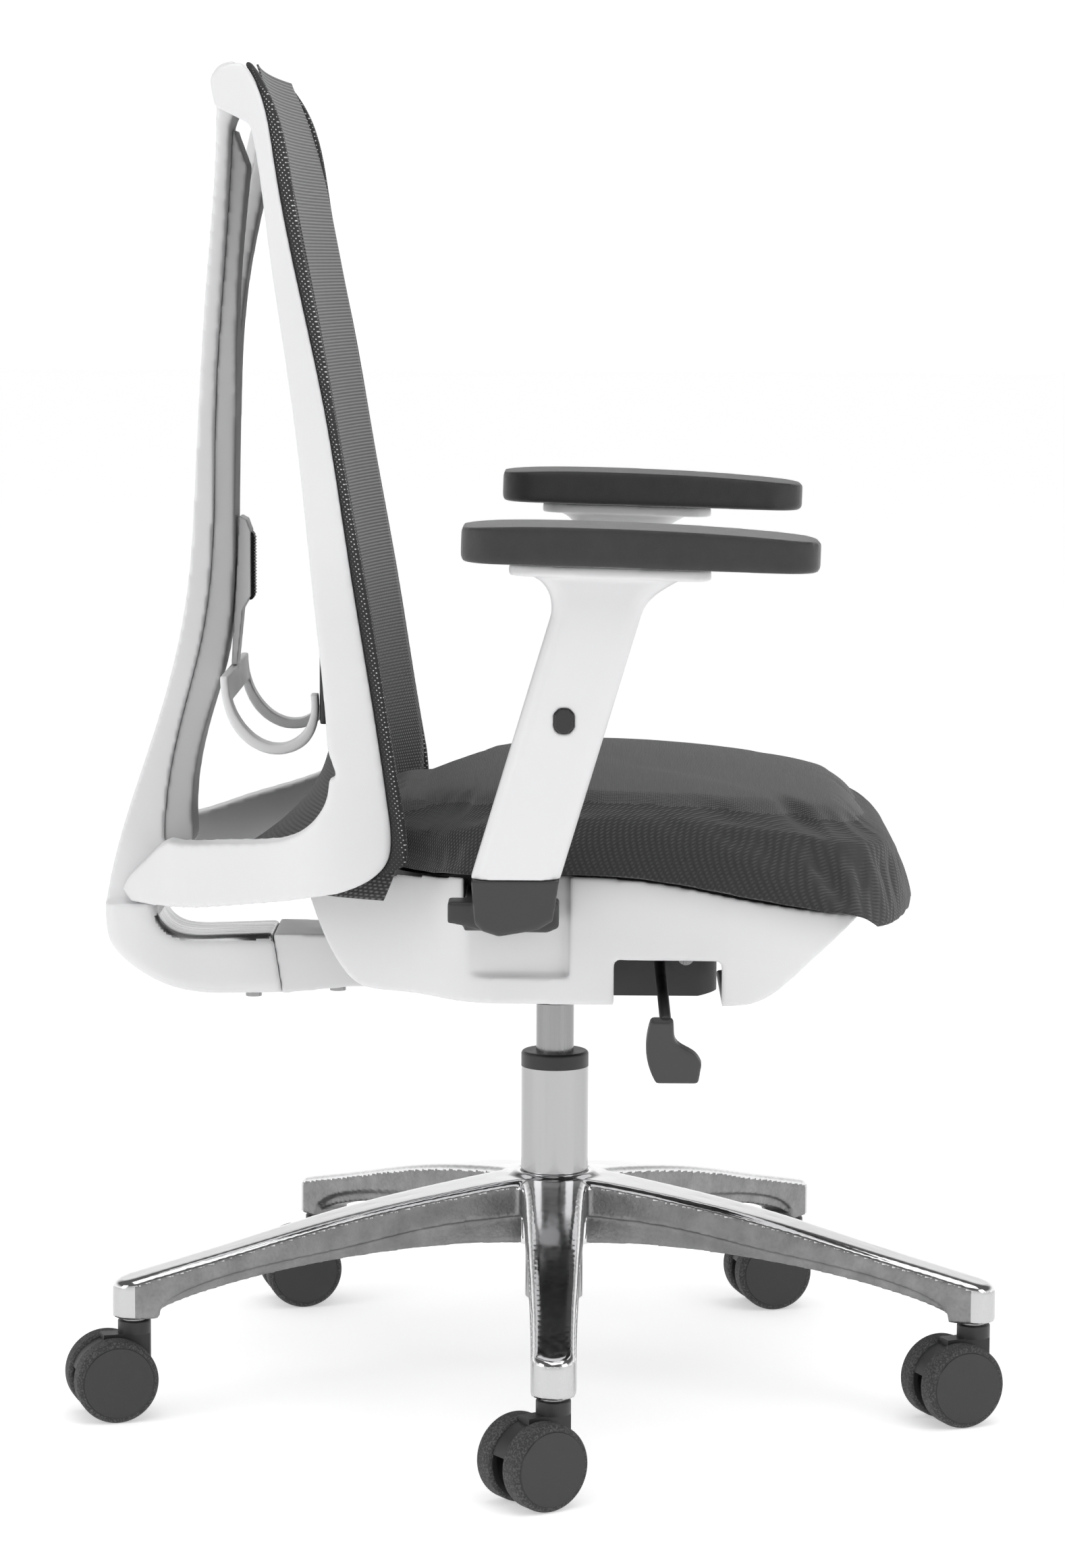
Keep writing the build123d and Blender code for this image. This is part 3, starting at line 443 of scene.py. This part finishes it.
def make_wheels():
    """Wheels with a dark disc and a speckled tyre."""
    disc_radius = 0.0262
    for index in CASTERS:
        for side in "ab":
            node = f"caster_{index}_wheel_{side}"
            wheel = shown(f"wheel_{index}_{side}", nodes[node].data.copy())
            dress(wheel, DISC, TYRE)
            joint = joints[f"caster_{index}_roll_{side}"]
            centre, axis = np.array(joint["pos_m"]), np.array(joint["axis"])
            reach = faces_of(wheel)[0] - centre
            depth = reach @ axis
            distance = np.linalg.norm(reach - np.outer(depth, axis), axis=1)
            choose(wheel, distance > disc_radius)
            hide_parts(node)
            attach(wheel, node)


# ---------------------------------------------------------------- white shell parts
def make_shells():
    """Rails, spine, carrier, shroud and arm posts with moulded, rounded edges."""
    for hand in HANDS:
        softened(f"back_rail_{hand}", f"rail_{hand}", 0.0022, 5, WHITE, "back")
        softened(f"arm_post_{hand}", f"post_{hand}", 0.0016, 4, WHITE, f"arm_{hand}")
        softened(f"arm_bracket_{hand}", f"knuckle_{hand}", 0.0014, 2, LEVER, "seat")
        trim_foot(softened(f"mesh_edge_{hand}", f"net_edge_{hand}", 0.0016, 4, EDGE, "back"))
    # The spine insert carries painted shade: its grey stands for the shade on the spine's front face.
    softened("spine_insert", "spine_groove", 0.0022, 3, PAINTED_SHADE_GREY, "back")
    softened("back_bracket", "bracket_shell", 0.0018, 3, WHITE, "back")
    softened("seat_shroud", "shroud_shell", 0.0018, 4, WHITE, "seat")
    softened("lumbar_slider", "slider_shell", 0.001, 3, WHITE, "lumbar")
    softened("lumbar_yoke", "yoke_shell", 0.0012, 4, WHITE, "lumbar")
    softened("lumbar_pad", "lumbar_plate", 0.0015, 3, BLACK, "lumbar")
    softened("lever_paddle", "paddle_shell", 0.0008, 3, LEVER, "lever")
    spine = softened(("back_spine", "back_carrier"), "spine_shell", 0.002, 5, WHITE, "back")
    dress(spine, WHITE, BRUSHED)
    centres, normals = faces_of(spine)
    low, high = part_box("back_carrier")
    inside = (np.abs(centres[:, 0]) < high.x - 0.002) & (centres[:, 2] < high.z - 0.008)
    choose(spine, inside & (normals[:, 2] > 0.25) & (centres[:, 1] > low.y + 0.003) & (centres[:, 1] < 0.3))


def trim_foot(edge):
    """Tucks the lower end of a net edge up to the line that it ends on, which rises to the front."""
    start_y, start_z, slope = 0.149, 0.400, 0.42
    places = read(edge.data)
    places[:, 2] = np.maximum(places[:, 2], start_z + slope * (start_y - places[:, 1]))
    write(edge.data, places)


def make_grip():
    """Ribbed dark grip on the front of the lumbar slider."""
    low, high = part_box("lumbar_slider")
    ribs = 22
    top, bottom = high.z - 0.012, high.z - 0.062
    half = 0.009
    depth = 0.0026
    front = low.y
    rows = []
    for step in range(ribs * 4 + 1):
        share = step / (ribs * 4)
        rib = 0.0005 * cos(2 * pi * share * ribs)
        ease = min(1.0, share * 12, (1 - share) * 12)
        rows.append((top + (bottom - top) * share, front - depth * sqrt(ease) - rib * ease))
    verts = []
    faces = []
    for height, reach in rows:
        for x in (-half, -half * 0.8, half * 0.8, half):
            verts.append((x, reach if abs(x) < half else front + 0.001, height))
    for row in range(len(rows) - 1):
        for column in range(3):
            start = row * 4 + column
            faces.append((start, start + 1, start + 5, start + 4))
    mesh = bpy.data.meshes.new("slider_grip")
    mesh.from_pydata(verts, [], faces)
    grip = shown("slider_grip", mesh)
    dress(grip, BLACK)
    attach(grip, "lumbar")


# ---------------------------------------------------------------- soft goods
def make_cushion():
    """Seat cushion: domed, blown up as cloth from a slightly smaller shape, then pulled in along its seam."""
    shrink = 0.002
    most_swell = 0.007
    frames = 20
    cushion = shown("seat_cover", nodes["seat_cushion"].data.copy())
    remeshed(cushion, 0.005)
    smoothed(cushion, 6)
    settled(cushion)
    low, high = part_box("seat_cushion")
    write(cushion.data, domed(cushion.data, low, high))
    smoothed(cushion, 8)
    settled(cushion)
    places = read(cushion.data)
    normals = normals_of(cushion.data)
    start = places - normals * shrink
    write(cushion.data, start)
    blow_up(cushion, normals[:, 2] < -0.3, frames)
    moved = read(cushion.data) - start
    length = np.linalg.norm(moved, axis=1, keepdims=True)
    places = start + moved * np.minimum(1, most_swell / np.maximum(length, 1e-9))
    write(cushion.data, places)
    smoothed(cushion, 8)
    smoothed(cushion, 7, -0.52)
    settled(cushion)
    write(cushion.data, pulled_in(cushion, read(cushion.data), low, high))
    finer = cushion.modifiers.new("finer", "SUBSURF")
    finer.levels = 1
    settled(cushion)
    cushion.data.shade_smooth()
    dress(cushion, SEAT_SIDE, SEAT_TOP)
    centres = faces_of(cushion)[0]
    choose(cushion, centres[:, 2] > seam_height(centres, low, high))
    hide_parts("seat_cushion")
    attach(cushion, "seat")


def blow_up(piece, underside, frames):
    """Swells a closed piece as cloth under pressure, with its underside held."""
    held = piece.vertex_groups.new(name="held")
    held.add([int(i) for i in np.nonzero(underside)[0]], 1.0, "REPLACE")
    cloth = piece.modifiers.new("cloth", "CLOTH")
    cloth.settings.use_pressure = True
    cloth.settings.uniform_pressure_force = 4
    cloth.settings.effector_weights.gravity = 0
    cloth.settings.vertex_group_mass = "held"
    cloth.point_cache.frame_end = frames
    for number in range(1, frames + 1):
        bpy.context.scene.frame_set(number)
    settled(piece)
    bpy.context.scene.frame_set(1)


def along_seat(places, low, high):
    """How far places are ahead of and behind the cushion's highest line, from 0 there to 1 at its ends."""
    share = (places[:, 1] - low.y) / (high.y - low.y)
    return np.clip((0.6 - share) / 0.6, 0, 1), np.clip((share - 0.6) / 0.4, 0, 1)


def seam_height(places, low, high):
    """Height of the seam between the cushion's top and its sides: it falls away to the front and the rear."""
    ahead, behind = along_seat(places, low, high)
    return high.z - 0.0244 - 0.030 * ahead ** 2 - 0.032 * behind ** 2


def crest_height(places, low, high):
    """Height of the cushion's middle line: it falls gently to the rounded nose, and faster to the rear."""
    ahead, behind = along_seat(places, low, high)
    return high.z - 0.0145 - 0.026 * ahead ** 2 - 0.035 * ahead ** 10 - 0.045 * behind ** 2


def domed(mesh, low, high):
    """The cushion's places with its top domed along and across, and its sides leaning in towards the seam.

    The CAD solid's own top isn't kept, because it is too full and has a wave across its rear.
    """
    tree = tree_of(mesh)
    down, up, inward = Vector((0, 0, -1)), Vector((0, 0, 1)), Vector((-1, 0, 0))
    stations = np.linspace(low.y + 0.008, high.y - 0.008, 100)
    feet = [tree.ray_cast(Vector((0, y, 0)), up)[0].z for y in stations]
    tops = [tree.ray_cast(Vector((0, y, 1)), down)[0].z for y in stations]
    sides = [tree.ray_cast(Vector((1, y, foot + 0.02)), inward)[0].x for y, foot in zip(stations, feet)]
    spread = np.linspace(0, high.x - 0.006, 40)
    crown = [tree.ray_cast(Vector((x, 0, 1)), down)[0].z for x in spread]
    places = read(mesh)
    x, y, z = places.T
    foot, side = np.interp(y, stations, feet), np.interp(y, stations, sides)
    top = np.minimum(np.interp(y, stations, tops), np.interp(np.abs(x), spread, crown))
    rise = np.clip((z - foot) / (top - foot), 0, 1)
    crest = crest_height(places, low, high)
    edge = np.minimum(seam_height(places, low, high) - 0.002, crest)
    wanted = crest - (crest - edge) * np.minimum(1, np.abs(x) / side) ** 2
    lift = np.clip(wanted - top, -0.45 * (top - foot), 0.03)
    lean = 0.12 + 0.14 * along_seat(places, low, high)[0] ** 2
    return np.column_stack((x * (1 - rise * lean), y, z + rise * lift))


def pulled_in(cushion, places, low, high):
    """Sinks a narrow crease along the seam."""
    crease_width = 0.006
    crease_depth = 0.0022
    cushion.data.update()
    normals = normals_of(cushion.data)
    away = (places[:, 2] - seam_height(places, low, high)) / crease_width
    depth = crease_depth * np.exp(-away * away) * (np.abs(normals[:, 2]) < 0.97)
    return places - normals * depth[:, None]


def make_pads():
    """Arm pads with rounded rims."""
    for hand in HANDS:
        node = f"arm_pad_{hand}"
        pad = softened(node, f"pad_cover_{hand}", 0.002, 4, PAD, f"pad_{hand}")


def half_width(mesh, z):
    """Greatest X of a mesh at a height."""
    ends = np.array([edge.vertices[:] for edge in mesh.edges])
    places = read(mesh)
    first, second = places[ends[:, 0]], places[ends[:, 1]]
    crossing = (first[:, 2] - z) * (second[:, 2] - z) < 0
    first, second = first[crossing], second[crossing]
    share = (z - first[:, 2]) / (second[:, 2] - first[:, 2])
    return float(np.abs(first[:, 0] + share * (second[:, 0] - first[:, 0])).max())


def make_net():
    """The stretched net of the back, sampled from the front of its CAD solid and smoothed."""
    solid = nodes["back_mesh"]
    low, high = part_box("back_mesh")
    tree = tree_of(solid.data)
    columns, rows = 96, 150
    inset = 0.0004
    depths = np.zeros((rows, columns))
    zs = np.linspace(low.z + inset, high.z - inset, rows)
    spread = np.linspace(-1, 1, columns)
    widths = [half_width(solid.data, z) - inset for z in zs]
    for row, z in enumerate(zs):
        for column, share in enumerate(spread):
            start = Vector((share * widths[row], low.y - 0.1, z))
            depths[row, column] = tree.ray_cast(start, Vector((0, 1, 0)))[0].y
    for _ in range(30):
        depths[1:-1] += 0.25 * (depths[:-2] - 2 * depths[1:-1] + depths[2:])
    verts = [(share * widths[row], depths[row, column], z)
             for row, z in enumerate(zs) for column, share in enumerate(spread)]
    faces = []
    for row in range(rows - 1):
        for column in range(columns - 1):
            start = row * columns + column
            faces.append((start, start + 1, start + columns + 1, start + columns))
    mesh = bpy.data.meshes.new("back_net")
    mesh.from_pydata(verts, [], faces)
    net = shown("back_net", mesh)
    thick = net.modifiers.new("thick", "SOLIDIFY")
    thick.thickness = 0.0014
    thick.offset = 1
    settled(net)
    net.data.shade_smooth()
    dress(net, NET)
    places = np.array(verts).reshape(rows, columns, 3)
    width = float(np.linalg.norm(np.diff(places, axis=1), axis=2).sum(axis=1).max())
    length = float(np.linalg.norm(np.diff(places, axis=0), axis=2).sum(axis=0).max())
    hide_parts("back_mesh")
    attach(net, "back")


# ---------------------------------------------------------------- room
def make_floor():
    """Plain pale floor."""
    mesh = bpy.data.meshes.new("floor")
    reach = 30
    corners = [(-reach, -reach, 0), (reach, -reach, 0), (reach, reach, 0), (-reach, reach, 0)]
    mesh.from_pydata(corners, [], [(0, 1, 2, 3)])
    floor = shown("floor", mesh)
    pale = Finish("pale_floor", (0.9, 0.9, 0.9), 0.8)
    pale.tint(pale.noise(2, 2), (0.89, 0.89, 0.89), (0.91, 0.91, 0.91))
    pale.shader.inputs["Emission Color"].default_value = (1, 1, 1, 1)
    pale.shader.inputs["Emission Strength"].default_value = 0.42
    dress(floor, pale)


def make_world():
    """Soft light from all round, plain white behind the chair, with a dark top in reflections only."""
    world = bpy.data.worlds.new("studio")
    world.use_nodes = True
    bpy.context.scene.world = world
    tree = world.node_tree
    tree.nodes.clear()
    output = tree.nodes.new("ShaderNodeOutputWorld")
    backdrop = tree.nodes.new("ShaderNodeBackground")
    backdrop.inputs["Color"].default_value = (1, 1, 1, 1)
    backdrop.inputs["Strength"].default_value = 1.1
    surround = tree.nodes.new("ShaderNodeBackground")
    surround.inputs["Strength"].default_value = 0.72
    mirrored = tree.nodes.new("ShaderNodeBackground")
    mirrored.inputs["Strength"].default_value = 1.1
    path = tree.nodes.new("ShaderNodeLightPath")
    split = tree.nodes.new("ShaderNodeSeparateXYZ")
    height = tree.nodes.new("ShaderNodeMath")
    height.operation = "MULTIPLY_ADD"
    height.inputs[1].default_value = 0.5
    height.inputs[2].default_value = 0.5
    tree.links.new(tree.nodes.new("ShaderNodeTexCoord").outputs["Generated"], split.inputs[0])
    tree.links.new(split.outputs["Z"], height.inputs[0])
    fades = ((surround, (0.5, 0.85), (0.55, 1.0)), (mirrored, (0.62, 0.76), (1.0, 0.1)))
    for shader, heights, levels in fades:
        sky = tree.nodes.new("ShaderNodeValToRGB")
        for stop, at, level in zip(sky.color_ramp.elements, heights, levels):
            stop.position = at
            stop.color = (level, level, level, 1)
        tree.links.new(height.outputs[0], sky.inputs["Fac"])
        tree.links.new(sky.outputs["Color"], shader.inputs["Color"])
    last = surround.outputs[0]
    for ray, shader in (("Is Glossy Ray", mirrored), ("Is Camera Ray", backdrop)):
        mix = tree.nodes.new("ShaderNodeMixShader")
        tree.links.new(path.outputs[ray], mix.inputs["Fac"])
        tree.links.new(last, mix.inputs[1])
        tree.links.new(shader.outputs[0], mix.inputs[2])
        last = mix.outputs[0]
    tree.links.new(last, output.inputs[0])


def make_lamps():
    """Three large soft lamps round the chair."""
    softbox("top_light", (-0.6, -0.2, 2.6), (0, 0, 0.6), 2.2, 22)
    softbox("side_light", (-1.6, -2.2, 1.6), (0, 0, 0.6), 1.4, 12)
    softbox("rear_light", (-1.4, 2.4, 1.4), (0, 0.1, 0.6), 1.4, 13)


def make_camera():
    """Camera on the chair's right, a little above the arm pads and looking slightly down."""
    camera = bpy.data.objects.new("camera", bpy.data.cameras.new("camera"))
    bpy.context.scene.collection.objects.link(camera)
    camera.data.lens = 101.61
    camera.data.sensor_width = 36
    camera.data.clip_end = 60
    eye = Vector((-3.2421, -0.0218, 0.8374))
    ahead = Vector((0.992909, 0.012036, -0.118267))
    right = Vector((0.012612, -0.999912, 0.004122))
    above = right.cross(ahead)
    turned = Matrix((right, above, -ahead)).transposed()
    camera.matrix_world = Matrix.Translation(eye) @ turned.to_4x4()
    bpy.context.scene.camera = camera
    bpy.context.scene.view_settings.view_transform = "Standard"


def softbox(name, place, target, size, power):
    """A square area light that looks at a point."""
    light = bpy.data.lights.new(name, "AREA")
    light.size = size
    light.energy = power
    lamp = bpy.data.objects.new(name, light)
    bpy.context.scene.collection.objects.link(lamp)
    lamp.location = place
    lamp.rotation_euler = (Vector(target) - Vector(place)).to_track_quat("-Z", "Y").to_euler()


# ---------------------------------------------------------------- making it
make_floor()
make_world()
make_lamps()
make_camera()
finish_cad_nodes()
make_base()
make_wheels()
make_shells()
make_grip()
make_cushion()
make_pads()
make_net()
